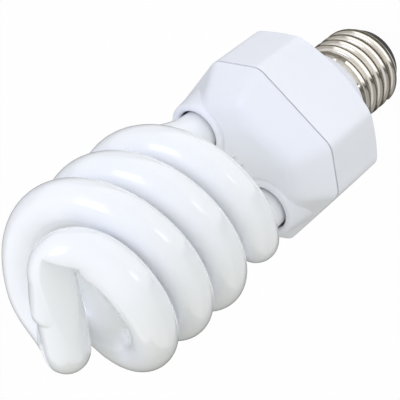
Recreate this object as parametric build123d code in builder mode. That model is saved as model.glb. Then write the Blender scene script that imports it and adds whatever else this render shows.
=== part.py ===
from build123d import *
import math
import os

os.makedirs("parts", exist_ok=True)

# A spiral compact fluorescent lamp with an E27 screw cap, in millimetres.
# The axis is +Z, the cap's end contact is at z = 0 and the tube's two legs stand on the X axis.

# Glass tube: two arms of a right-handed double helix, joined across the axis at the tip.
tube_diameter = 12.0
coil_diameter = 54.3      # over the glass
arm_gap = 1.6             # between one arm and the next along the axis
coil_lift = 18.8          # centreline of the lowest helix turn above the cover's front
coil_from = 39.0          # degrees round from the leg where the helix begins
coil_sweep = 562.0        # degrees of helix in each arm
tip_turn = 66.4           # degrees from the helix's end to the bridge's direction
tip_rise = 7.6            # bridge's centreline above the helix's end
tip_tilt = 33.0           # degrees that the tip bends lean out of the level plane
tip_crease = 0.6          # radius left on the inside of a tip bend
bridge_half = 10.7        # straight half of the bridge
nose_radius = 5.95        # sealed end of one arm, fused to the bridge
nose_offset = 1.2         # its centre from the bridge's centreline
nose_lean = 42.5          # degrees that it sits above the level plane
nose_short = 1.0          # its centre short of the bridge's middle
press_depth = 2.4         # flat pressed beside each bend, deepest at the fold
press_fold = 17.2         # fold from the middle of the bridge
press_fade = -7.0         # end of the flat, past the middle
press_skew = 2.55         # ends of the fold ahead of its middle and behind it
press_turn = 34.0         # degrees that the flat leans towards the bend
notch_depth = 1.1         # pressed out of the inside of each bend
notch_turn = -14.0        # degrees that the notch leans, with the flat
leg_spacing = 28.0        # between the two legs' axes
leg_foot_round = 3.0      # rounding of a leg's sealed end
leg_tail = 9.5            # leg below the cover's front
leg_lead_in = 2.2         # straight part of a leg above the cover's front

# Cap
thread_diameter = 26.2    # over the crests
thread_depth = 1.05
thread_pitch = 3.62
skirt_diameter = 26.0     # plain ring above the thread
skirt_height = 3.1
cap_height = 27.1         # contact's end face to the housing's shoulder
shell_foot = 5.0          # height of the shell's lower edge
shell_wall = 0.45
contact_diameter = 9.4
contact_thickness = 1.0
stem_diameter = 2.0
insulator_depth = 3.0     # glass inside the shell
stake_count = 8           # dents that lock the shell on the housing
stake_radius = 1.1
stake_depth = 0.28

# Housing
body_width = 49.4         # across the flats
body_cut = 54.8           # across the cut corners
corner_radius = 5.0
wall = 1.8
neck_diameter = 28.6
neck_height = 2.0
rim_height = 39.6         # middle of a flat's lower edge
flare_rise = 0.62         # slope of the flare outside the flats
seam_height = 61.0
seam_gap = 0.35           # open line between the mouldings
seam_depth = 0.8
rib_thickness = 1.6
rib_depth = 2.4

# Cover
cover_height = 9.4
cover_shrink = 0.74       # front section against the seam section
front_round = 7.0
collar_rise = 1.4         # collar's rim above the cover's front
collar_gap = 0.6          # round each leg
collar_wall = 2.1
collar_round = 1.0
boss_inset = 0.5          # boss's foot inside the housing's flat
lip_depth = 4.0
lip_thickness = 1.4
vent_length = 9.0
vent_width = 1.1
vent_spacing = 3.1
vent_depth = 0.6

# Board and running clearances
board_thickness = 1.6
slip = 0.15               # between the mouldings
touch = 0.03              # round glass and wires

# Sizes that follow from those above
tube_radius = tube_diameter / 2
coil_radius = (coil_diameter - tube_diameter) / 2
coil_pitch = 2 * (tube_diameter + arm_gap)
bend_radius = tube_radius + tip_crease
leg_x = leg_spacing / 2
front_height = seam_height + cover_height
collar_top = front_height + collar_rise
collar_hole = tube_radius + collar_gap
collar_radius = collar_hole + collar_wall
leg_foot = front_height - leg_tail
leg_head = front_height + leg_lead_in
coil_foot = front_height + coil_lift
coil_to = coil_from + coil_sweep
bridge_angle = coil_to + tip_turn
root_radius = thread_diameter / 2 - thread_depth
skirt_radius = skirt_diameter / 2
skirt_foot = cap_height - skirt_height
bore_radius = root_radius - shell_wall
spigot_radius = skirt_radius - shell_wall - 0.1
neck_bore = spigot_radius - wall
half_width = body_width / 2
half_cut = body_cut / 2
board_top = seam_height - lip_depth
board_under = board_top - board_thickness
board_radius = half_width - wall - 1.0


def turned(radius, angle, height):
    return Vector(radius * math.cos(math.radians(angle)), radius * math.sin(math.radians(angle)), height)


def coil_point(angle):
    return turned(coil_radius, angle, coil_foot + coil_pitch * (angle - coil_from) / 360)


def coil_heading(angle):
    return (turned(coil_radius, angle + 90, coil_pitch / (2 * math.pi))).normalized()


def section(height, half, cut, radius):
    # square with its corners cut off and rounded
    with BuildSketch(Plane.XY.offset(height)) as outline:
        Rectangle(2 * half, 2 * half)
        Rectangle(2 * cut, 2 * cut, rotation=45, mode=Mode.INTERSECT)
        fillet(outline.vertices(), radius)
    return outline.sketch


def revolved(outline):
    # (radius, height) points turned about the lamp's axis
    with BuildPart() as form:
        with BuildSketch(Plane.XZ):
            with BuildLine():
                Polyline(*outline, close=True)
            make_face()
        revolve(axis=Axis.Z)
    return form.part


def finish(builder, name):
    builder.part.label = name
    export_step(builder.part, f"parts/{name}.step")


# Glass tube: one arm from its leg to the middle of the bridge, then the same arm turned half round.
bridge_out = turned(1, bridge_angle, 0)
bridge_side = turned(1, bridge_angle - 90, 0)
bridge_level = coil_point(coil_to).Z + tip_rise
bend_in = bridge_side * math.cos(math.radians(tip_tilt)) - Vector(0, 0, math.sin(math.radians(tip_tilt)))
bend_start = bridge_out * bridge_half + Vector(0, 0, bridge_level)
bend_end = bend_start + (bridge_out + bend_in) * bend_radius
bend_middle = bend_start + (bridge_out + bend_in * (math.sqrt(2) - 1)) * (bend_radius / math.sqrt(2))
leg_end = Vector(leg_x, 0, leg_head)
coil_low, coil_high = coil_point(coil_from), coil_point(coil_to)
bridge_middle = Vector(0, 0, bridge_level)
lean, turn = math.radians(nose_lean), math.radians(press_turn)
nose_start = bridge_middle - bridge_out * bridge_half
nose_end = bridge_middle - bridge_out * nose_short
nose_end += (bridge_side * math.cos(lean) + Vector(0, 0, math.sin(lean))) * nose_offset
nose_length = (nose_end - nose_start).length
nose_along = (nose_end - nose_start).normalized()
press_out = bend_in.cross(bridge_out) * math.cos(turn) + bend_in * math.sin(turn)
press_start = bridge_middle + bridge_out * press_fold + press_out * (tube_radius - press_depth)
press_along = (bridge_out * (press_fold - press_fade) - press_out * press_depth).normalized()
press_normal = (press_out - press_along * press_out.dot(press_along)).normalized()
blend = (bend_end - coil_high).length * 0.34
drop = (coil_low - leg_end).length * 0.52

with BuildPart() as glass_tube:
    with BuildLine() as arm:
        Line((leg_x, 0, leg_foot), leg_end)
        leg_pull, coil_pull = Vector(0, 0, drop * 0.76), coil_heading(coil_from) * drop
        Bezier(leg_end, leg_end + leg_pull, coil_low - coil_pull, coil_low)
        turns = Helix(coil_pitch, coil_pitch * coil_sweep / 360, coil_radius, mode=Mode.PRIVATE)
        add(turns.rotate(Axis.Z, coil_from).moved(Location((0, 0, coil_foot))))
        Bezier(coil_high, coil_high + coil_heading(coil_to) * blend, bend_end + bend_in * blend, bend_end)
        ThreePointArc(bend_end, bend_middle, bend_start)
        Line(bend_start, (0, 0, bridge_level))
    with BuildSketch(Plane.XY.offset(leg_foot).shift_origin((leg_x, 0, leg_foot))):
        Circle(tube_radius)
    sweep(path=arm.wires()[0])
    fillet(glass_tube.edges().group_by(Axis.Z)[0], leg_foot_round)
    add(glass_tube.part.rotate(Axis.Z, 180))
    with BuildSketch(Plane(nose_start, x_dir=nose_along, z_dir=nose_along.cross(bridge_side))):
        with BuildLine():
            Polyline((nose_length + nose_radius, 0), (0, 0), (0, nose_radius), (nose_length, nose_radius))
            RadiusArc((nose_length, nose_radius), (nose_length + nose_radius, 0), nose_radius)
        make_face()
    revolve(axis=Axis(nose_start, nose_along))
    for half in (0, 180):
        start, along, normal = [v.rotate(Axis.Z, half) for v in (press_start, press_along, press_normal)]
        with BuildSketch(Plane(start, x_dir=along, z_dir=normal)):
            far, low = -2.2 * tube_diameter, -1.5 * tube_radius
            Polygon((far, tube_radius), (press_skew, tube_radius), (-press_skew, low), (far, low), align=None)
        extrude(amount=tube_radius, mode=Mode.SUBTRACT)
        across, inward = [v.rotate(Axis.Z, half) for v in (bridge_out, bend_in)]
        notch_plane = Plane(bridge_middle, x_dir=across, z_dir=across.cross(inward))
        with BuildSketch(notch_plane.rotated((notch_turn, 0, 0))):
            inside = bridge_half + bend_radius - tube_radius
            deep = (inside + notch_depth * 0.7, tube_radius - notch_depth * 0.7)
            wide, far = tube_radius + 2.5, -bridge_half / 3
            Polygon(deep, (inside, wide), (far, wide), (far, tube_radius), align=None)
        extrude(amount=tube_radius, both=True, mode=Mode.SUBTRACT)
finish(glass_tube, "glass_tube")


# Cover: a frustum with two tapered collar bosses, hollow, with a lip that enters the housing.
def boss_radius(height, inset):
    outer = half_width - leg_x - boss_inset
    taper = (outer - collar_radius) / (collar_top - seam_height)
    return outer - taper * (height - seam_height) - inset


def cover_form(inset):
    front = front_height - inset
    low = section(seam_height, half_width - inset, half_cut - inset, corner_radius)
    shrink = cover_shrink
    high = section(front, half_width * shrink - inset, half_cut * shrink - inset, corner_radius)
    top = collar_top - inset
    with BuildPart() as form:
        loft([low, high])
        if inset == 0:
            fillet(form.edges().group_by(Axis.Z)[-1], front_round)
        for side in (-1, 1):
            with BuildSketch(Plane.XY.offset(seam_height)):
                with Locations((side * leg_x, 0)):
                    Circle(boss_radius(seam_height, inset))
            with BuildSketch(Plane.XY.offset(top)):
                with Locations((side * leg_x, 0)):
                    Circle(boss_radius(top, inset))
            loft()
    return form.part


with BuildPart() as tube_cover:
    add(cover_form(0))
    add(cover_form(wall), mode=Mode.SUBTRACT)
    lip_half, lip_cut = half_width - wall - slip, half_cut - wall - slip
    extrude(section(board_top, lip_half, lip_cut, corner_radius), amount=lip_depth + 2)
    lip_bore = section(board_top, lip_half - lip_thickness, lip_cut - lip_thickness, corner_radius)
    extrude(lip_bore, amount=lip_depth + 2, mode=Mode.SUBTRACT)
    with BuildSketch(Plane.XY.offset(collar_top)):
        with Locations((-leg_x, 0), (leg_x, 0)):
            Circle(collar_hole)
    extrude(amount=-4, mode=Mode.SUBTRACT)
    fillet(tube_cover.edges().group_by(Axis.Z)[-1], collar_round)
    with BuildSketch(Plane.XY.offset(front_height)):
        with Locations((-vent_spacing / 2, 0), (vent_spacing / 2, 0)):
            SlotOverall(vent_length, vent_width, rotation=90)
    extrude(amount=-vent_depth, mode=Mode.SUBTRACT)
finish(tube_cover, "tube_cover")

# Housing: a square body with cut corners that flares out of the cap's neck.
def housing_form(inset, neck, lift):
    low = section(cap_height, half_width - inset, half_cut - inset, corner_radius)
    flare_foot = cap_height + neck_height + lift
    past = 1.5 * half_width
    envelope = [
        (0, cap_height), (neck, cap_height), (neck, flare_foot), (half_width, rim_height + lift),
        (past, rim_height + lift + flare_rise * (past - half_width)), (past, seam_height), (0, seam_height),
    ]
    with BuildPart() as form:
        extrude(low, amount=seam_height - cap_height)
        add(revolved(envelope), mode=Mode.INTERSECT)
    return form.part


def seam_relief():
    # step round the housing's rim that leaves the seam open on the outside
    land = section(seam_height, half_width - seam_depth, half_cut - seam_depth, corner_radius)
    with BuildPart() as relief:
        extrude(section(seam_height, half_width + 1, half_cut + 1, corner_radius), amount=-seam_gap)
        extrude(land, amount=-seam_gap, mode=Mode.SUBTRACT)
    return relief.part


with BuildPart() as base_housing:
    add(housing_form(0, neck_diameter / 2, 0))
    add(seam_relief(), mode=Mode.SUBTRACT)
    add(housing_form(wall, neck_bore, 1.4 * wall), mode=Mode.SUBTRACT)
    with BuildSketch(Plane.XY.offset(cap_height)):
        Circle(spigot_radius)
        Circle(neck_bore, mode=Mode.SUBTRACT)
    extrude(amount=-(skirt_height - 0.6))
    with BuildSketch(Plane.XY.offset(board_under)):
        with PolarLocations(half_width - wall - rib_depth / 2, 4):
            Rectangle(rib_depth + wall, rib_thickness)
    extrude(amount=-(board_under - rim_height) + 4)
finish(base_housing, "base_housing")


# Screw shell: drawn and rolled from sheet, with the thread's round ridge wound on it.
foot_step = 1.3
shell_outside = [
    (0, shell_foot), (root_radius - 1.2, shell_foot), (root_radius, shell_foot + foot_step),
    (root_radius, skirt_foot - foot_step), (skirt_radius, skirt_foot),
    (skirt_radius, cap_height), (0, cap_height),
]
shell_inside = [
    (0, shell_foot - 1), (bore_radius - foot_step, shell_foot - 1),
    (bore_radius - foot_step, shell_foot + shell_wall),
    (bore_radius - 0.7, shell_foot + shell_wall), (bore_radius, shell_foot + foot_step + 0.2),
    (bore_radius, skirt_foot - foot_step + 0.2), (skirt_radius - shell_wall, skirt_foot + 0.2),
    (skirt_radius - shell_wall, cap_height), (0, cap_height),
]


def thread_ridge():
    # round ridge that fades in at the shell's foot and runs out under the skirt
    chord, root, reach = thread_pitch * 0.46, 0.3, thread_diameter / 2 + 1
    with BuildPart() as ridge:
        with BuildLine() as path:
            Helix(thread_pitch, skirt_foot - shell_foot - 3.5, root_radius, center=(0, 0, shell_foot + 2.4))
        with BuildSketch(Plane(path.line @ 0, x_dir=(1, 0, 0), z_dir=path.line % 0)):
            with BuildLine():
                ThreePointArc((-root, -chord), (thread_depth, 0), (-root, chord))
                Line((-root, chord), (-root, -chord))
            make_face()
        sweep(path=path.line, is_frenet=True)
        fade = [
            (0, shell_foot), (root_radius - root, shell_foot + 0.8), (reach, shell_foot + 4.2),
            (reach, cap_height), (0, cap_height),
        ]
        add(revolved(fade), mode=Mode.INTERSECT)
    return ridge.part


with BuildPart() as screw_shell:
    add(revolved(shell_outside))
    add(thread_ridge())
    add(revolved(shell_inside), mode=Mode.SUBTRACT)
    with BuildPart(mode=Mode.PRIVATE) as stake:
        Sphere(stake_radius)
    for index in range(stake_count):
        turn = 360 * (index + 0.5) / stake_count
        dent = turned(skirt_radius + stake_radius - stake_depth, turn, cap_height - skirt_height / 2)
        add(stake.part.moved(Location(dent)), mode=Mode.SUBTRACT)
finish(screw_shell, "screw_shell")

# Black glass insulator, moulded in the shell's foot
seat_height = shell_foot + shell_wall
glass_top = seat_height + insulator_depth
stem_bore = stem_diameter / 2 + touch
glass_edge = bore_radius - foot_step - touch
with BuildPart() as cap_insulator:
    add(revolved([
        (stem_bore, contact_thickness), (contact_diameter / 2 + 0.4, contact_thickness),
        (glass_edge - 1.0, shell_foot - 2.8), (glass_edge - 0.1, shell_foot - 2.0), (glass_edge, seat_height),
        (bore_radius - 0.8, seat_height), (bore_radius - 0.1, shell_foot + foot_step + 0.2),
        (bore_radius - 0.1, glass_top), (stem_bore, glass_top),
    ]))
finish(cap_insulator, "cap_insulator")

# End contact, with the stem that its wire is soldered to
stem_top = glass_top + 0.6
contact_edge = contact_diameter / 2
with BuildPart() as centre_contact:
    add(revolved([
        (0, 0), (contact_edge - 1.3, 0),
        (contact_edge, contact_thickness * 0.6), (contact_edge, contact_thickness),
        (stem_diameter / 2, contact_thickness), (stem_diameter / 2, stem_top), (0, stem_top),
    ]))
finish(centre_contact, "centre_contact")

# Cement between each leg and the inside of its collar boss
cement_low, cement_high = seam_height + 3.0, seam_height + 6.5
with BuildPart() as leg_cement:
    for side in (-1, 1):
        with BuildSketch(Plane.XY.offset(cement_low)):
            with Locations((side * leg_x, 0)):
                Circle(boss_radius(cement_low, wall + touch))
        with BuildSketch(Plane.XY.offset(cement_high)):
            with Locations((side * leg_x, 0)):
                Circle(boss_radius(cement_high, wall + touch))
        loft()
    with BuildSketch(Plane.XY.offset(cement_low)):
        with Locations((-leg_x, 0), (leg_x, 0)):
            Circle(tube_radius + touch)
    extrude(amount=cement_high - cement_low, mode=Mode.SUBTRACT)
finish(leg_cement, "leg_cement")

# Ballast board, held between the lip and the ribs
with BuildPart() as circuit_board:
    with BuildSketch(Plane.XY.offset(board_under)):
        Circle(board_radius)
    extrude(amount=board_thickness)
finish(circuit_board, "circuit_board")


# Every part of the ballast stands on the board's cap side, so its own up is the lamp's down.
def seat(x, y, lift=0.0):
    return Plane((x, y, board_under - lift), x_dir=(1, 0, 0), z_dir=(0, 0, -1))


# Bulk capacitor: a can with a rolled groove near its seal
can_radius, can_height, can_place = 6.25, 18.0, (9.0, 7.0)
with BuildPart() as bulk_capacitor:
    with BuildSketch(seat(*can_place)):
        Circle(can_radius)
    extrude(amount=can_height)
    fillet(bulk_capacitor.edges().group_by(Axis.Z)[0], 0.9)
    with BuildSketch(seat(*can_place, lift=1.8)):
        Circle(can_radius + 1)
        Circle(can_radius - 0.4, mode=Mode.SUBTRACT)
    extrude(amount=0.9, mode=Mode.SUBTRACT)
finish(bulk_capacitor, "bulk_capacitor")

# Lamp choke: a ferrite frame of two E halves round a bobbin with its winding
choke_place = (-8.0, -4.5)
core_width, core_height, core_depth = 16.0, 14.4, 4.6
yoke, centre_leg, core_lift = 2.4, 4.4, 0.6
window = (core_width - centre_leg) / 2 - 2.2
window_low, window_high = core_lift + yoke, core_lift + core_height - yoke
flange, sleeve = 0.8, 0.7
with BuildPart() as choke_core:
    with BuildSketch(seat(*choke_place, lift=core_lift)):
        Rectangle(core_width, core_depth)
    extrude(amount=core_height)
    with BuildSketch(seat(*choke_place, lift=window_low)):
        with Locations((-(centre_leg + window) / 2, 0), ((centre_leg + window) / 2, 0)):
            Rectangle(window, core_depth)
    extrude(amount=window_high - window_low, mode=Mode.SUBTRACT)
finish(choke_core, "choke_core")

spool_width, spool_depth = centre_leg + 2 * window - 0.2, 12.8
with BuildPart() as choke_bobbin:
    for lift in (window_low, window_high - flange):
        with BuildSketch(seat(*choke_place, lift=lift)):
            RectangleRounded(spool_width, spool_depth, 1.0)
        extrude(amount=flange)
    with BuildSketch(seat(*choke_place, lift=window_low)):
        Rectangle(centre_leg + 2 * sleeve + 0.2, core_depth + 2 * sleeve + 0.2)
    extrude(amount=window_high - window_low)
    with BuildSketch(seat(*choke_place)):
        with Locations((0, -(core_depth + spool_depth) / 4), (0, (core_depth + spool_depth) / 4)):
            Rectangle(spool_width, (spool_depth - core_depth) / 2 - 0.2)
    extrude(amount=window_low)
    with BuildSketch(seat(*choke_place)):
        Rectangle(centre_leg + 0.1, core_depth + 0.1)
    extrude(amount=window_high, mode=Mode.SUBTRACT)
finish(choke_bobbin, "choke_bobbin")

with BuildPart() as choke_winding:
    with BuildSketch(seat(*choke_place, lift=window_low + flange)):
        RectangleRounded(spool_width - 0.6, spool_depth - 1.4, 3.0)
        Rectangle(centre_leg + 2 * sleeve + 0.3, core_depth + 2 * sleeve + 0.3, mode=Mode.SUBTRACT)
    extrude(amount=window_high - window_low - 2 * flange)
finish(choke_winding, "choke_winding")

# Drive transformer: a small ring core with loops of wire through it
ring_place, ring_outer, ring_inner, ring_height = (8.5, -6.5), 5.0, 2.7, 4.0
loop_wire, loop_count = 0.6, 8
with BuildPart() as drive_core:
    with BuildSketch(seat(*ring_place, lift=loop_wire + touch)):
        Circle(ring_outer - loop_wire)
        Circle(ring_inner, mode=Mode.SUBTRACT)
    extrude(amount=ring_height)
finish(drive_core, "drive_core")

loop_width, loop_height = ring_outer - loop_wire - ring_inner + 2 * touch, ring_height + 2 * touch
with BuildPart() as drive_winding:
    for index in range(loop_count):
        out = turned(1, 360 * index / loop_count, 0)
        middle = Vector(*ring_place, board_under - loop_wire - loop_height / 2)
        middle += out * ((ring_outer - loop_wire + ring_inner) / 2)
        with BuildSketch(Plane(middle, x_dir=out, z_dir=out.cross(Vector(0, 0, 1)))):
            RectangleRounded(loop_width + 2 * loop_wire, loop_height + 2 * loop_wire, loop_wire)
            Rectangle(loop_width, loop_height, mode=Mode.SUBTRACT)
        extrude(amount=loop_wire / 2, both=True)
finish(drive_winding, "drive_winding")

# Input filter coil: a drum core with its winding
drum_place, drum_radius, drum_height, drum_flange, drum_waist = (-14.0, 7.5), 3.4, 9.0, 1.2, 1.6
with BuildPart() as filter_core:
    with BuildSketch(seat(*drum_place)):
        Circle(drum_radius)
    extrude(amount=drum_height)
    with BuildSketch(seat(*drum_place, lift=drum_flange)):
        Circle(drum_radius)
        Circle(drum_waist, mode=Mode.SUBTRACT)
    extrude(amount=drum_height - 2 * drum_flange, mode=Mode.SUBTRACT)
finish(filter_core, "filter_core")

with BuildPart() as filter_winding:
    with BuildSketch(seat(*drum_place, lift=drum_flange)):
        Circle(drum_radius - 0.5)
        Circle(drum_waist + touch, mode=Mode.SUBTRACT)
    extrude(amount=drum_height - 2 * drum_flange)
finish(filter_winding, "filter_winding")


# Film capacitors: dipped blocks with rounded edges
def film_capacitor(place, length, depth, height, name):
    with BuildPart() as block:
        with BuildSketch(seat(*place)):
            RectangleRounded(length, depth, 1.2)
        extrude(amount=height)
        fillet(block.edges().group_by(Axis.Z)[0], 0.8)
    finish(block, name)


film_capacitor((3.5, -15.0), 10.0, 4.5, 9.0, "resonant_capacitor")
film_capacitor((15.9, -2.6), 3.8, 9.0, 8.0, "blocking_capacitor")

# Power transistors: flat bodies with a mounting hole, on three legs each
body_wide, body_thick, body_tall, leg_lift = 7.8, 2.7, 10.8, 3.0
with BuildPart() as power_transistors:
    for place in ((-4.5, 8.5), (-4.5, 14.0)):
        with BuildSketch(seat(*place, lift=leg_lift)):
            Rectangle(body_wide, body_thick)
        extrude(amount=body_tall)
        with BuildSketch(seat(*place)):
            with GridLocations(2.3, 1, 3, 1):
                Rectangle(0.8, 0.5)
        extrude(amount=leg_lift)
        with BuildSketch(Plane.XZ.offset(-place[1])):
            with Locations((place[0], board_under - leg_lift - body_tall + 3.4)):
                Circle(1.6)
        extrude(amount=body_thick, both=True, mode=Mode.SUBTRACT)
finish(power_transistors, "power_transistors")


# Parts that stand on one lead, with the other lead bent back to the board
lead_radius, stand_off = 0.3, 0.6
def standing_part(x, y, radius, length, heading):
    aside = turned(radius + 2 * lead_radius + 0.2, heading, 0)
    start = Vector(x, y, board_under - stand_off - length)
    over = start - Vector(0, 0, stand_off)
    with BuildPart() as standing:
        with BuildSketch(seat(x, y, lift=stand_off)):
            Circle(radius)
        extrude(amount=length)
        fillet(standing.edges().group_by(Axis.Z)[0] + standing.edges().group_by(Axis.Z)[-1], radius * 0.3)
        with BuildSketch(seat(x, y)):
            Circle(lead_radius)
        extrude(amount=stand_off)
        with BuildLine() as hairpin:
            Polyline(start, over, over + aside, Vector(x, y, board_under) + aside)
        with BuildSketch(Plane(start, z_dir=(0, 0, -1))):
            Circle(lead_radius)
        sweep(path=hairpin.wires()[0], transition=Transition.RIGHT)
    return standing.part


def standing_group(name, radius, length, places):
    with BuildPart() as group:
        for x, y, heading in places:
            add(standing_part(x, y, radius, length, heading))
    finish(group, name)


standing_group("rectifier_diodes", 1.3, 5.2, [
    (1.2, 14.4, 95), (4.3, 15.4, 80), (7.4, 15.6, 70), (10.6, 14.4, 60),
])
standing_group("resistors", 1.15, 6.3, [
    (-10.0, -14.4, -130), (-6.6, -15.4, -110), (-3.4, -14.2, -90), (16.6, 4.4, 60),
])
standing_group("fusible_resistor", 1.6, 8.0, [(-11.6, 12.6, 75)])
standing_group("trigger_diode", 0.95, 3.8, [(1.7, -7.0, 90)])

# Wrap pins on the board's tube side, and the tube's leads wound on them
pin_width, pin_height, pin_y, lead_y = 0.9, 5.0, 8.8, 2.0
pin_places = [(x, y) for x in (-leg_x, leg_x) for y in (-1, 1)]
with BuildPart() as wrap_pins:
    for x, side in pin_places:
        with BuildSketch(Plane.XY.offset(board_top)):
            with Locations((x, side * pin_y)):
                Rectangle(pin_width, pin_width)
        extrude(amount=pin_height)
finish(wrap_pins, "wrap_pins")

wrap_low, wrap_height, wrap_width = board_top + 1.2, 1.6, pin_width + 0.7
with BuildPart() as tube_leads:
    for x, side in pin_places:
        with BuildSketch(Plane.XY.offset(wrap_low)):
            with Locations((x, side * pin_y)):
                Rectangle(wrap_width, wrap_width)
                Rectangle(pin_width + 2 * touch, pin_width + 2 * touch, mode=Mode.SUBTRACT)
        extrude(amount=wrap_height)
        with BuildLine() as lead:
            level = wrap_low + wrap_height / 2
            FilletPolyline(
                (x, side * lead_y, leg_foot), (x, side * lead_y, level),
                (x, side * (pin_y - wrap_width / 2 + 0.2), level), radius=1.2,
            )
        with BuildSketch(Plane.XY.offset(leg_foot)):
            with Locations((x, side * lead_y)):
                Circle(0.3)
        sweep(path=lead.wires()[0])
finish(tube_leads, "tube_leads")


# Supply wires from the cap to the board
def supply_wire(points, radius, name):
    with BuildPart() as wire:
        with BuildLine() as route:
            FilletPolyline(*points, radius=3)
        with BuildSketch(Plane(route.line @ 0, z_dir=route.line % 0)):
            Circle(radius)
        sweep(path=route.wires()[0])
    finish(wire, name)


supply_wire(
    [(0, 0, stem_top), (0, 0, cap_height), (0.8, 4.2, rim_height - 2), (0.8, 4.2, board_under)],
    0.7,
    "contact_wire",
)
shell_level, shell_x = skirt_foot - 6, -(bore_radius - 0.05)
supply_wire(
    [(shell_x, 0, shell_level), (shell_x + 4, 0, shell_level), (shell_x + 4, 0, cap_height + 5),
     (-9.6, 4.7, rim_height), (-9.6, 4.7, board_under)], 0.6, "shell_wire"
)
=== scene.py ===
import math

import bpy
from mathutils import Matrix, Vector


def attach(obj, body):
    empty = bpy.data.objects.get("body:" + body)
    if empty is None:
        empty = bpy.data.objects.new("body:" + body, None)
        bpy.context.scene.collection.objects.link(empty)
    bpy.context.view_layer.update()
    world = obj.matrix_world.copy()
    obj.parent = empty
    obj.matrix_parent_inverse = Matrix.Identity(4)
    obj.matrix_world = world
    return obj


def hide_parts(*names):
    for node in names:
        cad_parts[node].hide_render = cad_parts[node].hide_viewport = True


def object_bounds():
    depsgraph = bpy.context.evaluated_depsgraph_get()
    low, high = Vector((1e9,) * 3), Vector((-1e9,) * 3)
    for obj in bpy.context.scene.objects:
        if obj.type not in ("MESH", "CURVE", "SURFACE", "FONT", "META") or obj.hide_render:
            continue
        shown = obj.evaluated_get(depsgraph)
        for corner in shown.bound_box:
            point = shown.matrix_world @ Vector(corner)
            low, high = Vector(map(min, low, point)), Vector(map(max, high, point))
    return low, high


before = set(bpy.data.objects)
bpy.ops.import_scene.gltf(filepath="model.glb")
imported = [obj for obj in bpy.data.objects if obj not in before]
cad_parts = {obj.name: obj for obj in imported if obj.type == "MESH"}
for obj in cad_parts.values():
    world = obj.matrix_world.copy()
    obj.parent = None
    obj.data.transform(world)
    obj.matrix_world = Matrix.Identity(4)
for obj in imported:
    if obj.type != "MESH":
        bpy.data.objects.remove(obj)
cadLow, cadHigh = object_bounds()
mm = 0.001
pureWhite = (1, 1, 1, 1)
print("frame loaded with", len(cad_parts), "nodes")


def linearColor(hexColor):
    channels = [int(hexColor[i:i + 2], 16) / 255 for i in (1, 3, 5)]
    return [c / 12.92 if c <= 0.04045 else ((c + 0.055) / 1.055) ** 2.4 for c in channels] + [1.0]


def addNode(tree, kind, settings=None, inputs=None):
    node = tree.nodes.new(kind)
    for name, value in (settings or {}).items():
        setattr(node, name, value)
    for name, value in (inputs or {}).items():
        if isinstance(value, bpy.types.NodeSocket):
            tree.links.new(value, node.inputs[name])
        else:
            node.inputs[name].default_value = value
    return node


def newMaterial(name):
    material = bpy.data.materials.new(name)
    material.use_nodes = True
    material.node_tree.nodes.clear()
    return material, material.node_tree


def addObject(name, data):
    added = bpy.data.objects.new(name, data)
    bpy.context.scene.collection.objects.link(added)
    return added


# What all the surfaces share: detail of the patches and of the grain, and the samples that round an edge.
surfaceDetail = {"patchDetail": 3.0, "patchRoughness": 0.5, "grainDetail": 2.0, "edgeSamples": 6}
mixFirst, mixSecond, mixResult = 6, 7, 2  # the colour sockets of a Mix node


def makeSurface(name, look):
    # two close colours in soft patches, a roughness that wanders with them and a fine grain in relief
    material, tree = newMaterial(name)
    place = addNode(tree, "ShaderNodeTexCoord").outputs["Object"]
    patches = addNode(tree, "ShaderNodeTexNoise", inputs={
        "Vector": place, "Scale": 1 / (look["patchMm"] * mm),
        "Detail": surfaceDetail["patchDetail"], "Roughness": surfaceDetail["patchRoughness"]})
    color = addNode(tree, "ShaderNodeMix", {"data_type": "RGBA"}, {
        "Factor": patches.outputs["Fac"],
        mixFirst: linearColor(look["color"]), mixSecond: linearColor(look["otherColor"])})
    smoothest, roughest = look["roughness"]
    rough = addNode(tree, "ShaderNodeMapRange", inputs={
        "Value": patches.outputs["Fac"], "To Min": smoothest, "To Max": roughest})
    grain = addNode(tree, "ShaderNodeTexNoise", inputs={
        "Vector": place, "Scale": 1 / (look["grainMm"] * mm), "Detail": surfaceDetail["grainDetail"]})
    relief = addNode(tree, "ShaderNodeBump", inputs={
        "Height": grain.outputs["Fac"], "Strength": look["grainStrength"],
        "Distance": look["grainDepthMm"] * mm})
    if "edgeMm" in look:  # sharp edges are rounded in the shading
        edges = addNode(tree, "ShaderNodeBevel", {"samples": surfaceDetail["edgeSamples"]},
                        {"Radius": look["edgeMm"] * mm})
        tree.links.new(edges.outputs["Normal"], relief.inputs["Normal"])
    shader = addNode(tree, "ShaderNodeBsdfPrincipled", inputs={
        "Base Color": color.outputs[mixResult], "Roughness": rough.outputs["Result"],
        "Normal": relief.outputs["Normal"], **look["shader"]})
    addNode(tree, "ShaderNodeOutputMaterial", inputs={"Surface": shader.outputs["BSDF"]})
    return material


def dress(node, material):
    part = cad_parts[node]
    part.data.materials.clear()
    part.data.materials.append(material)


# Soda-lime glass, drawn to a tube and lined with white phosphor powder: matt white seen through clear gloss.
coatedGlass = makeSurface("coatedSodaLimeGlass", {
    "color": "#F3F5FD", "otherColor": "#F7F9FF", "patchMm": 9.0, "roughness": (0.5, 0.6),
    "grainMm": 1.2, "grainStrength": 0.05, "grainDepthMm": 0.02, "edgeMm": 0.6,
    "shader": {
        "Specular IOR Level": 0.0, "Coat Weight": 1.0, "Coat Roughness": 0.025, "Coat IOR": 1.52,
        "Subsurface Weight": 0.6, "Subsurface Radius": (1.0, 1.0, 1.0), "Subsurface Scale": 6.0 * mm,
    },
})

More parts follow.
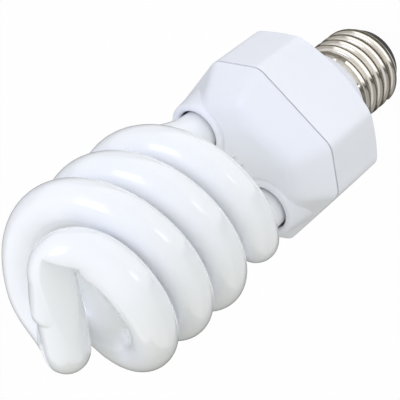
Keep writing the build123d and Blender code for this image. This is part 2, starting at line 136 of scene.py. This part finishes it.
# Polybutylene terephthalate, injection moulded in a polished tool: bluish white with a soft sheen.
mouldedHousing = makeSurface("mouldedPolyester", {
    "color": "#EDEFF6", "otherColor": "#F1F2F9", "patchMm": 14.0, "roughness": (0.36, 0.44),
    "grainMm": 0.35, "grainStrength": 0.12, "grainDepthMm": 0.02, "edgeMm": 0.3, "shader": {"IOR": 1.55},
})

# Brass sheet, drawn and rolled, with bright nickel plate: warm grey mirror with a faint haze.
platedShell = makeSurface("nickelPlatedBrass", {
    "color": "#CFCAC1", "otherColor": "#DCD8D1", "patchMm": 4.0, "roughness": (0.16, 0.26),
    "grainMm": 0.8, "grainStrength": 0.08, "grainDepthMm": 0.03, "shader": {"Metallic": 1.0},
})

# Fused black glass, pressed in the shell: deep black with a wet gloss.
pressedGlass = makeSurface("pressedBlackGlass", {
    "color": "#0B0B0D", "otherColor": "#17161A", "patchMm": 2.5, "roughness": (0.12, 0.22),
    "grainMm": 0.7, "grainStrength": 0.2, "grainDepthMm": 0.05, "shader": {"IOR": 1.52},
})

# Tin-lead solder on the brass contact: dull silver with a grainy skin.
solderedContact = makeSurface("tinnedContact", {
    "color": "#9D9A94", "otherColor": "#BDB9B1", "patchMm": 1.5, "roughness": (0.3, 0.5),
    "grainMm": 0.5, "grainStrength": 0.3, "grainDepthMm": 0.05, "shader": {"Metallic": 1.0},
})

# What is inside the housing: two close colours, roughness, metallic, slot and the nodes of that finish.
innerFinishes = {
    "silicateCement": ("#9C9B90", "#B0AFA4", 0.85, 0.0, "cement", ["leg_cement"]),
    "paperLaminate": ("#8B6A35", "#9C7A42", 0.55, 0.0, "board_laminate", ["circuit_board"]),
    "shrunkSleeve": ("#101116", "#1B1C22", 0.25, 0.0, "can_sleeve", ["bulk_capacitor"]),
    "sinteredFerrite": ("#27272A", "#343438", 0.6, 0.0, "ferrite",
                        ["choke_core", "drive_core", "filter_core"]),
    "mouldedPhenolic": ("#1A1A1C", "#242427", 0.5, 0.0, "bobbin_plastic", ["choke_bobbin"]),
    "enamelledCopper": ("#9A4E22", "#B8642E", 0.3, 1.0, "enamelled_copper",
                        ["choke_winding", "drive_winding", "filter_winding"]),
    "dippedEpoxy": ("#5A1F14", "#6E2A1B", 0.3, 0.0, "film_coating",
                    ["resonant_capacitor", "blocking_capacitor"]),
    "mouldedEpoxy": ("#17171A", "#222226", 0.5, 0.0, "moulded_epoxy",
                     ["power_transistors", "rectifier_diodes", "trigger_diode"]),
    "lacquer": ("#A08A62", "#B59D73", 0.45, 0.0, "resistor_coating", ["resistors", "fusible_resistor"]),
    "tinnedCopper": ("#B9B8B4", "#CBCAC6", 0.3, 1.0, "tinned_wire", ["wrap_pins", "tube_leads"]),
    "wireSleeve": ("#8E1712", "#A5211A", 0.5, 0.0, "wire_sleeve", ["contact_wire", "shell_wire"]),
}
innerLook = {"patchMm": 2.0, "grainMm": 0.3, "grainStrength": 0.2, "grainDepthMm": 0.03}
roughSpread = 0.1  # share by which a roughness wanders
for name, (color, otherColor, rough, metallic, slotName, nodes) in innerFinishes.items():
    material = makeSurface(name, {
        **innerLook, "color": color, "otherColor": otherColor, "shader": {"Metallic": metallic},
        "roughness": (rough * (1 - roughSpread), rough * (1 + roughSpread)),
    })
    for node in nodes:
        dress(node, material)

for node in ("tube_cover", "base_housing"):
    dress(node, mouldedHousing)
dress("screw_shell", platedShell)
dress("cap_insulator", pressedGlass)
dress("centre_contact", solderedContact)
print("materials ready")

# Glass tube: two arms of a double helix and the bridge that joins them at the tip (millimetres and degrees).
tube = {
    "diameter": 12.0, "ringSides": 56, "ringStep": 0.6, "sharpAngle": 28.0,  # round wall and its mesh
    "coilDiameter": 54.3, "armGap": 1.6, "coilFoot": 89.2,  # the two arms of the helix
    "coilFrom": 39.0, "coilSweep": 562.0, "coilStep": 2,
    "legSpacing": 28.0, "legFoot": 60.9, "legHead": 72.6,  # straight legs that go down into the cover
    "legPull": 0.52, "legRise": 0.76, "legSteps": 40,  # how the leg bends into the coil
    "tipTurn": 66.4, "tipRise": 7.6, "tipTilt": 33.0, "tipCrease": 0.6, "bridgeHalf": 10.7,  # tight bends
    "tipPull": 0.34, "tipSteps": 30, "bendStep": 3,  # how the coil bends into the bridge
    # sealed arm along the bridge, the flat beside each bend and the notch inside it
    "noseRadius": 5.95, "noseOffset": 1.2, "noseLean": 42.5, "noseShort": 1.0, "noseRings": 28,
    "pressDepth": 2.4, "pressFold": 17.2, "pressFade": -7.0, "pressTurn": 34.0, "pressSkew": 2.55,
    "pressReach": 4.4, "pressBelow": 1.5,  # size of the cutter for the flat, in tube radii
    "notchDepth": 1.1, "notchTurn": 14.0,
    "notchSlope": 0.7, "notchPast": 2.5, "notchPart": 3,  # size of the cutter for the notch
}


def turnedPoint(radius, angle, height):
    return Vector((radius * math.cos(math.radians(angle)), radius * math.sin(math.radians(angle)), height))


def bezierPoints(a, b, c, d, count):
    steps = [i / count for i in range(1, count + 1)]
    return [a * (1 - s) ** 3 + 3 * b * s * (1 - s) ** 2 + 3 * c * s * s * (1 - s) + d * s ** 3
            for s in steps]


def coilPitch(t):
    return 2 * (t["diameter"] + t["armGap"])


def coilEnd(t):
    return t["coilFrom"] + t["coilSweep"]


def bridgeSide(t):
    return turnedPoint(1, coilEnd(t) + t["tipTurn"] - 90, 0)  # level, and square to the bridge


def tipFrame(t):
    # the bridge's middle, its direction and the way that its bend turns
    tilt = math.radians(t["tipTilt"])
    centre = Vector((0, 0, t["coilFoot"] + coilPitch(t) * t["coilSweep"] / 360 + t["tipRise"]))
    out = turnedPoint(1, coilEnd(t) + t["tipTurn"], 0)
    return centre, out, bridgeSide(t) * math.cos(tilt) - Vector((0, 0, math.sin(tilt)))


def armPoints(t):
    # from the leg's sealed end up the helix to the start of the bridge
    coilRadius = (t["coilDiameter"] - t["diameter"]) / 2
    bendRadius = t["diameter"] / 2 + t["tipCrease"]
    centre, out, inward = tipFrame(t)

    def coilPoint(angle):
        return turnedPoint(coilRadius, angle, t["coilFoot"] + coilPitch(t) * (angle - t["coilFrom"]) / 360)

    def coilHeading(angle):
        return turnedPoint(coilRadius, angle + 90, coilPitch(t) / (2 * math.pi)).normalized()

    low, high = coilPoint(t["coilFrom"]), coilPoint(coilEnd(t))
    legHead = Vector((t["legSpacing"] / 2, 0, t["legHead"]))
    drop = (low - legHead).length * t["legPull"]
    bendStart = centre + out * t["bridgeHalf"]
    bendEnd = bendStart + (out + inward) * bendRadius
    blend = (bendEnd - high).length * t["tipPull"]

    points = [Vector((t["legSpacing"] / 2, 0, t["legFoot"])), legHead]
    points += bezierPoints(legHead, legHead + Vector((0, 0, drop * t["legRise"])),
                           low - coilHeading(t["coilFrom"]) * drop, low, t["legSteps"])
    coilCount = int(t["coilSweep"] / t["coilStep"])
    points += [coilPoint(t["coilFrom"] + t["coilStep"] * i) for i in range(1, coilCount)]
    points.append(high)
    points += bezierPoints(high, high + coilHeading(coilEnd(t)) * blend,
                           bendEnd + inward * blend, bendEnd, t["tipSteps"])
    turns = [math.radians(90 - t["bendStep"] * i) for i in range(1, 90 // t["bendStep"] + 1)]
    points += [bendStart + (out * math.sin(a) + inward * (1 - math.cos(a))) * bendRadius for a in turns]
    return points


def nosePoints(t):
    # the two ends of the sealed arm that lies along the bridge
    centre, out = tipFrame(t)[:2]
    lean = math.radians(t["noseLean"])
    offset = (bridgeSide(t) * math.cos(lean) + Vector((0, 0, math.sin(lean)))) * t["noseOffset"]
    return centre - out * t["bridgeHalf"], centre - out * t["noseShort"] + offset


def prismObject(name, origin, along, normal, corners, low, high):
    # a flat outline, drawn on a plane and made thick, that cuts the tube
    along, normal = along.normalized(), normal.normalized()
    across = normal.cross(along)
    count = len(corners)
    points = [(origin + along * x + across * y + normal * z) * mm for z in (low, high) for x, y in corners]
    sides = [(i, (i + 1) % count, (i + 1) % count + count, i + count) for i in range(count)]
    mesh = bpy.data.meshes.new(name)
    mesh.from_pydata(points, [], sides + [tuple(reversed(range(count))), tuple(range(count, 2 * count))])
    return bpy.data.objects.new(name, mesh)


def pressPrism(t):
    # the flat pressed on the bridge: deepest at the fold, gone past the middle
    centre, out, inward = tipFrame(t)
    radius, turn = t["diameter"] / 2, math.radians(t["pressTurn"])
    face = inward.cross(out) * math.cos(turn) + inward * math.sin(turn)
    start = centre + out * t["pressFold"] + face * (radius - t["pressDepth"])
    along = (out * (t["pressFold"] - t["pressFade"]) - face * t["pressDepth"]).normalized()
    far, low, skew = -t["pressReach"] * radius, -t["pressBelow"] * radius, t["pressSkew"]
    corners = [(far, low), (-skew, low), (skew, radius), (far, radius)]
    return prismObject("pressCutter", start, along, face - along * face.dot(along), corners, 0, radius)


def notchPrism(t):
    # the wedge pressed out of the inside of the bend
    centre, out, inward = tipFrame(t)
    radius, depth = t["diameter"] / 2, t["notchDepth"] * t["notchSlope"]
    inside, far = t["bridgeHalf"] + t["tipCrease"], -t["bridgeHalf"] / t["notchPart"]
    wide = radius + t["notchPast"]
    corners = [(far, radius), (inside + depth, radius - depth), (inside, wide), (far, wide)]
    normal = Matrix.Rotation(math.radians(t["notchTurn"]), 3, out) @ out.cross(inward)
    return prismObject("notchCutter", centre, out, normal, corners, -radius, radius)


tubeInputs = {
    "Path": "Geometry", "Radius": "Float", "Sides": "Int", "Step": "Float",
    "Nose Start": "Vector", "Nose End": "Vector", "Nose Radius": "Float", "Nose Rings": "Int",
    "Press": "Object", "Notch": "Object", "Sharp Angle": "Float", "Glass": "Material",
}


def buildTubeTree():
    # a path of edges becomes a closed round tube, with the nose joined on and the flats and notches cut out
    tree = bpy.data.node_groups.new("glassTubeTree", "GeometryNodeTree")
    for name, kind in tubeInputs.items():
        tree.interface.new_socket(name, in_out="INPUT", socket_type="NodeSocket" + kind)
    tree.interface.new_socket("Tube", in_out="OUTPUT", socket_type="NodeSocketGeometry")
    given = addNode(tree, "NodeGroupInput").outputs

    path = addNode(tree, "GeometryNodeMeshToCurve", inputs={"Mesh": given["Path"]})
    even = addNode(tree, "GeometryNodeResampleCurve", {"mode": "LENGTH"}, {
        "Curve": path.outputs["Curve"], "Length": given["Step"]})
    ring = addNode(tree, "GeometryNodeCurvePrimitiveCircle", inputs={
        "Resolution": given["Sides"], "Radius": given["Radius"]})
    wall = addNode(tree, "GeometryNodeCurveToMesh", inputs={
        "Curve": even.outputs["Curve"], "Profile Curve": ring.outputs["Curve"], "Fill Caps": True})

    # the nose is the hull round two balls
    ball = addNode(tree, "GeometryNodeMeshUVSphere", inputs={
        "Segments": given["Sides"], "Rings": given["Nose Rings"], "Radius": given["Nose Radius"]})
    ends = addNode(tree, "GeometryNodeJoinGeometry")
    for name in ("Nose Start", "Nose End"):
        end = addNode(tree, "GeometryNodeTransform", inputs={
            "Geometry": ball.outputs["Mesh"], "Translation": given[name]})
        tree.links.new(end.outputs["Geometry"], ends.inputs["Geometry"])
    nose = addNode(tree, "GeometryNodeConvexHull", inputs={"Geometry": ends.outputs["Geometry"]})
    joined = addNode(tree, "GeometryNodeMeshBoolean", {"operation": "UNION", "solver": "MANIFOLD"})
    for part in (wall.outputs["Mesh"], nose.outputs["Convex Hull"]):
        tree.links.new(part, joined.inputs["Mesh 2"])

    # each cutter works at both ends of the bridge
    pressed = addNode(tree, "GeometryNodeMeshBoolean", {"operation": "DIFFERENCE", "solver": "MANIFOLD"}, {
        "Mesh 1": joined.outputs["Mesh"]})
    for name in ("Press", "Notch"):
        cutter = addNode(tree, "GeometryNodeObjectInfo", inputs={"Object": given[name]})
        opposite = addNode(tree, "GeometryNodeTransform", inputs={
            "Geometry": cutter.outputs["Geometry"], "Rotation": (0, 0, math.pi)})
        for part in (cutter, opposite):
            tree.links.new(part.outputs["Geometry"], pressed.inputs["Mesh 2"])

    smooth = addNode(tree, "GeometryNodeSetShadeSmooth", inputs={"Geometry": pressed.outputs["Mesh"]})
    angle = addNode(tree, "GeometryNodeInputMeshEdgeAngle")
    sharp = addNode(tree, "FunctionNodeCompare", {"operation": "GREATER_THAN"}, {
        0: angle.outputs["Unsigned Angle"], 1: given["Sharp Angle"]})
    creased = addNode(tree, "GeometryNodeSetShadeSmooth", {"domain": "EDGE"}, {
        "Geometry": smooth.outputs["Geometry"], "Selection": sharp.outputs["Result"],
        "Shade Smooth": False})
    real = addNode(tree, "GeometryNodeRealizeInstances", inputs={"Geometry": creased.outputs["Geometry"]})
    glazed = addNode(tree, "GeometryNodeSetMaterial", inputs={
        "Geometry": real.outputs["Geometry"], "Material": given["Glass"]})
    addNode(tree, "NodeGroupOutput", inputs={"Tube": glazed.outputs["Geometry"]})
    return tree


def runTree(name, tree, points, values):
    # the tree works on a path of edges, and its result is kept as a plain mesh
    mesh = bpy.data.meshes.new(name + "Path")
    mesh.from_pydata(points, [(i, i + 1) for i in range(len(points) - 1)], [])
    maker = addObject(name + "Maker", mesh)
    modifier = maker.modifiers.new("tree", "NODES")
    modifier.node_group = tree
    for item in tree.interface.items_tree:
        if item.in_out == "INPUT" and item.name in values:
            modifier[item.identifier] = values[item.name]
    graph = bpy.context.evaluated_depsgraph_get()
    result = bpy.data.meshes.new_from_object(maker.evaluated_get(graph), depsgraph=graph)
    bpy.data.objects.remove(maker)
    return addObject(name, result)


halfPath = armPoints(tube)
halfTurn = Matrix.Rotation(math.pi, 3, "Z")
tubePath = [p * mm for p in halfPath] + [(halfTurn @ p) * mm for p in reversed(halfPath)]
noseStart, noseEnd = nosePoints(tube)
cutters = {"Press": pressPrism(tube), "Notch": notchPrism(tube)}
glassTube = runTree("glassTube", buildTubeTree(), tubePath, {
    "Radius": tube["diameter"] / 2 * mm, "Sides": tube["ringSides"], "Step": tube["ringStep"] * mm,
    "Nose Start": noseStart * mm, "Nose End": noseEnd * mm, "Nose Radius": tube["noseRadius"] * mm,
    "Nose Rings": tube["noseRings"], "Sharp Angle": math.radians(tube["sharpAngle"]),
    "Glass": coatedGlass, **cutters})
for cutter in cutters.values():
    bpy.data.objects.remove(cutter)
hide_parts("glass_tube")
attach(glassTube, "root")
print("tube made with", len(glassTube.data.polygons), "faces")

# Studio floor, in metres: the share of clean white leaves room for a faint shadow.
studioFloor = {"size": 6.0, "color": "#F4F4F4", "whiteShare": 0.97}


def addSeenRays(tree):
    # one for the rays that show a background: to the camera, in reflections and through glass
    rays = addNode(tree, "ShaderNodeLightPath").outputs
    seen = addNode(tree, "ShaderNodeMath", {"operation": "MAXIMUM"}, {
        0: rays["Is Camera Ray"], 1: rays["Is Glossy Ray"]})
    seenAll = addNode(tree, "ShaderNodeMath", {"operation": "MAXIMUM"}, {
        0: seen.outputs[0], 1: rays["Is Transmission Ray"]})
    return seenAll.outputs[0]


def makeFloorPaint(name, look):
    material, tree = newMaterial(name)
    share = addNode(tree, "ShaderNodeMath", {"operation": "MULTIPLY"}, {
        0: addSeenRays(tree), 1: look["whiteShare"]})
    paint = addNode(tree, "ShaderNodeBsdfDiffuse", inputs={"Color": linearColor(look["color"])})
    white = addNode(tree, "ShaderNodeEmission", inputs={"Color": pureWhite, "Strength": 1.0})
    mixed = addNode(tree, "ShaderNodeMixShader", inputs={
        0: share.outputs[0], 1: paint.outputs["BSDF"], 2: white.outputs["Emission"]})
    addNode(tree, "ShaderNodeOutputMaterial", inputs={"Surface": mixed.outputs["Shader"]})
    return material


half = studioFloor["size"] / 2
floorMesh = bpy.data.meshes.new("studioFloor")
floorMesh.from_pydata(
    [(-half, -half, 0), (half, -half, 0), (half, half, 0), (-half, half, 0)], [], [(0, 1, 2, 3)])
floorMesh.materials.append(makeFloorPaint("paintedFloor", studioFloor))
floor = addObject("studioFloor", floorMesh)

# Cards round the cap that reflections alone see: they draw the bands on its metal.
# Angles from and to in degrees, colour, strength, then inner radius, outer radius and height in metres.
reflectedCards = {
    "footCard": (0, 360, "#6E6A5F", 1.0, 0.012, 0.036, 0.002),
    "darkCard": (200, 330, "#2A2927", 1.0, 0.036, 0.45, 0.35),
    "greyCard": (330, 398, "#FFFDFA", 0.50, 0.036, 0.16, 0.08),
    "gapCard": (38, 52, "#4A4446", 1.0, 0.036, 0.16, 0.07),
    "whiteCard": (52, 156, "#FFFFFF", 1.7, 0.036, 0.16, 0.08),
    "sideCard": (156, 200, "#FFFDFA", 0.62, 0.036, 0.16, 0.08),
}
cardFoot, cardStep = 0.002, 6  # metres over the floor, and degrees in one face


def addCard(name, fromAngle, toAngle, color, strength, inner, outer, top):
    # lies just over the floor from the inner radius to the outer one and stands up there
    count = max(2, round((toAngle - fromAngle) / cardStep))
    rows = ((inner, cardFoot), (outer, cardFoot), (outer, top))
    points = [turnedPoint(radius, fromAngle + (toAngle - fromAngle) * i / count, height)
              for radius, height in rows for i in range(count + 1)]
    faces = [(row + i, row + i + 1, row + i + count + 2, row + i + count + 1)
             for row in (0, count + 1) for i in range(count)]
    mesh = bpy.data.meshes.new(name)
    mesh.from_pydata(points, [], faces)
    material, tree = newMaterial(name)
    glow = addNode(tree, "ShaderNodeEmission", inputs={"Color": linearColor(color), "Strength": strength})
    addNode(tree, "ShaderNodeOutputMaterial", inputs={"Surface": glow.outputs["Emission"]})
    mesh.materials.append(material)
    card = addObject(name, mesh)
    card.visible_camera = card.visible_diffuse = card.visible_transmission = card.visible_shadow = False


for name, sizes in reflectedCards.items():
    addCard(name, *sizes)

# World: soft light on the lamp, and clean white where it is seen.
studioWorld = {"color": "#FDFEF6", "strength": 0.69}
world = bpy.data.worlds.new("studioWorld")
world.use_nodes = True
world.node_tree.nodes.clear()
soft = addNode(world.node_tree, "ShaderNodeBackground", inputs={
    "Color": linearColor(studioWorld["color"]), "Strength": studioWorld["strength"]})
clean = addNode(world.node_tree, "ShaderNodeBackground", inputs={"Color": pureWhite, "Strength": 1.0})
backdrop = addNode(world.node_tree, "ShaderNodeMixShader", inputs={
    0: addSeenRays(world.node_tree), 1: soft.outputs[0], 2: clean.outputs[0]})
addNode(world.node_tree, "ShaderNodeOutputWorld", inputs={"Surface": backdrop.outputs[0]})
bpy.context.scene.world = world

# Soft boxes: direction from the lamp's middle, distance and size in metres, watts, colour, seen in mirrors.
softBoxes = {
    "keyBox": ((-0.5, 0.38, 0.77), 0.55, 0.24, 0.80, "#D6DEFF", True),
    "fillBox": ((0.284, 0.957, -0.03), 0.40, 0.11, 0.15, "#E2E8FF", True),
    "eyeBox": ((-0.18, 0.76, 0.63), 0.36, 0.10, 0.05, "#FFFFFF", False),
    "topBox": ((0.0, -0.2, 0.97), 0.55, 0.24, 0.20, "#FFFFFF", False),
}
middle = Vector((0, 0, (cadLow.z + cadHigh.z) / 2))


def lookAlong(direction, roll=0.0):
    turned = direction.to_track_quat("-Z", "Y").to_matrix().to_4x4()
    return turned @ Matrix.Rotation(math.radians(roll), 4, "Z")


def addSoftBox(name, towards, away, size, power, color, mirrored):
    lamp = bpy.data.lights.new(name, "AREA")
    lamp.size = size
    lamp.energy = power
    lamp.color = linearColor(color)[:3]
    box = addObject(name, lamp)
    direction = Vector(towards).normalized()
    box.matrix_world = Matrix.Translation(middle + direction * away) @ lookAlong(-direction)
    box.visible_camera = False
    box.visible_glossy = mirrored


for name, settings in softBoxes.items():
    addSoftBox(name, *settings)

# Core lamps stand in for the light that the thin white walls let through to the inside of the coil.
coreLamps = {"heights": (82, 104, 126), "power": 0.0010, "size": 8, "color": "#FFFFE0"}  # millimetres, watts
for height in coreLamps["heights"]:
    lamp = bpy.data.lights.new("coreLamp", "POINT")
    lamp.energy = coreLamps["power"]
    lamp.shadow_soft_size = coreLamps["size"] * mm
    lamp.color = linearColor(coreLamps["color"])[:3]
    core = addObject("coreLamp", lamp)
    core.location = (0, 0, height * mm)
    core.visible_camera = core.visible_glossy = False

# Camera at the photo's angle: millimetres, and degrees of roll.
photoCamera = {
    "place": (27.10, 272.55, 289.17), "target": (0.93, -0.09, 85.88), "roll": -128.85,
    "lens": 115.26, "sensor": 36.0, "nearest": 10.0,
}
place = Vector(photoCamera["place"]) * mm
target = Vector(photoCamera["target"]) * mm
cameraData = bpy.data.cameras.new("photoCamera")
cameraData.lens = photoCamera["lens"]
cameraData.sensor_width = photoCamera["sensor"]
cameraData.clip_start = photoCamera["nearest"] * mm
camera = addObject("photoCamera", cameraData)
camera.matrix_world = Matrix.Translation(place) @ lookAlong(target - place, photoCamera["roll"])
bpy.context.scene.camera = camera
bpy.context.scene.view_settings.view_transform = "Standard"
print("studio ready")
